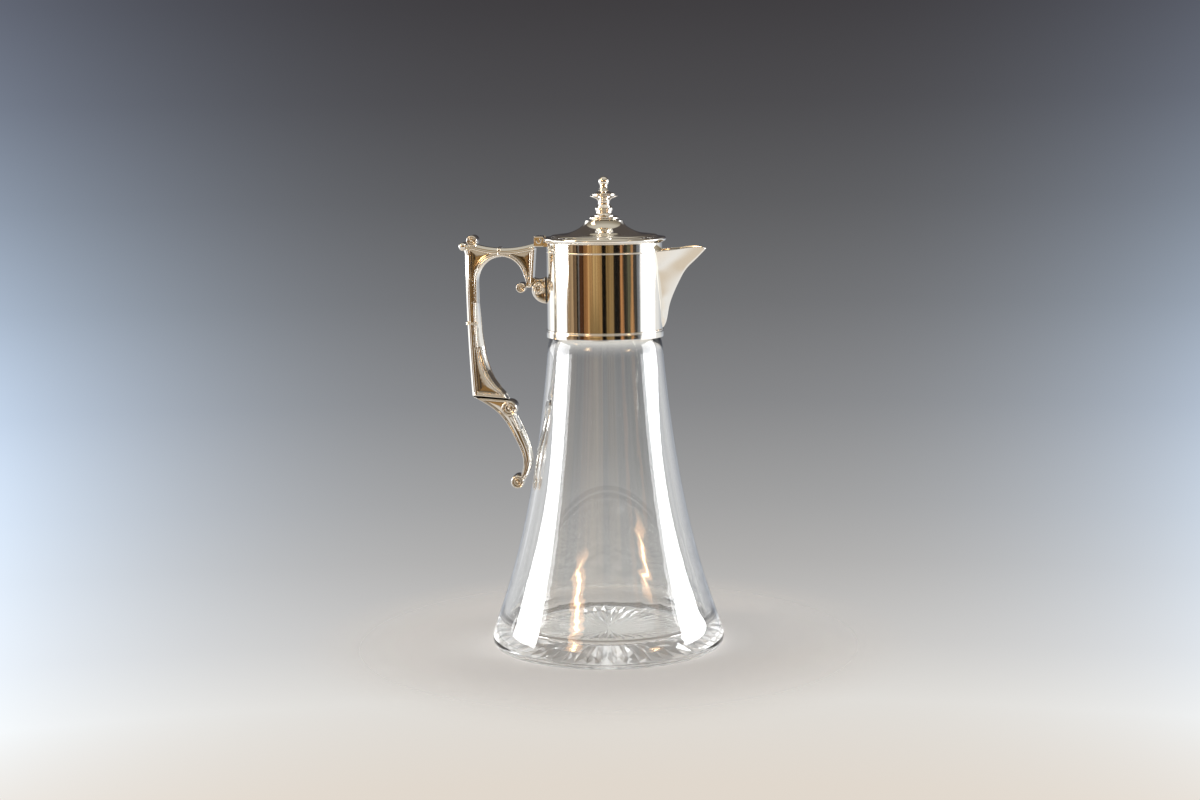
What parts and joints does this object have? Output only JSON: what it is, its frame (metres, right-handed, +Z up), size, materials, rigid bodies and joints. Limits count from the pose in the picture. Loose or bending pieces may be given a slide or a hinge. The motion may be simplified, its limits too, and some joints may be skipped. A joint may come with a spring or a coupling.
{
  "type": "claret jug",
  "caption": "Claret jug: trumpet-shaped clear glass body with a star-cut base, silver-plated collar, beak spout, cast scroll handle and a hinged lid with a turned finial.",
  "frame": {"origin": "centre of the foot ring, on the surface that the jug stands on", "axes": "+Z up along the jug's axis, +X towards the spout, the handle on the -X side"},
  "size_m": [0.162, 0.1448, 0.29],
  "materials": {
    "clear_glass": "clear cut crystal",
    "silver_plate": "polished silver plate",
    "plaster": "matt plaster cement",
    "steel": "plain steel"
  },
  "bodies": {
    "jug": {"glass_body": "clear_glass", "plaster_bed": "plaster", "collar_sleeve": "silver_plate", "collar_lower_band": "silver_plate", "collar_upper_band": "silver_plate", "spout": "silver_plate", "handle_grip": "silver_plate", "handle_tail": "silver_plate", "handle_bracket": "silver_plate", "handle_scroll_eyes": "silver_plate", "handle_bead_ties": "silver_plate", "hinge_block": "silver_plate", "hinge_pin": "steel"},
    "lid": {"lid_leaf": "silver_plate", "lid_cover": "silver_plate", "lid_rim_moulding": "silver_plate", "lid_bezel": "silver_plate", "finial_base_ring": "silver_plate", "finial_baluster": "silver_plate", "finial_saucer": "silver_plate", "finial_ball": "silver_plate", "finial_stud": "steel", "finial_washer": "steel", "finial_nut": "steel"}
  },
  "joints": [
    {"name": "lid_hinge", "type": "hinge", "parent": "jug", "child": "lid", "pos_m": [-0.0385, 0, 0.252], "axis": [0, -1, 0], "range_deg": [0, 100]}
  ]
}
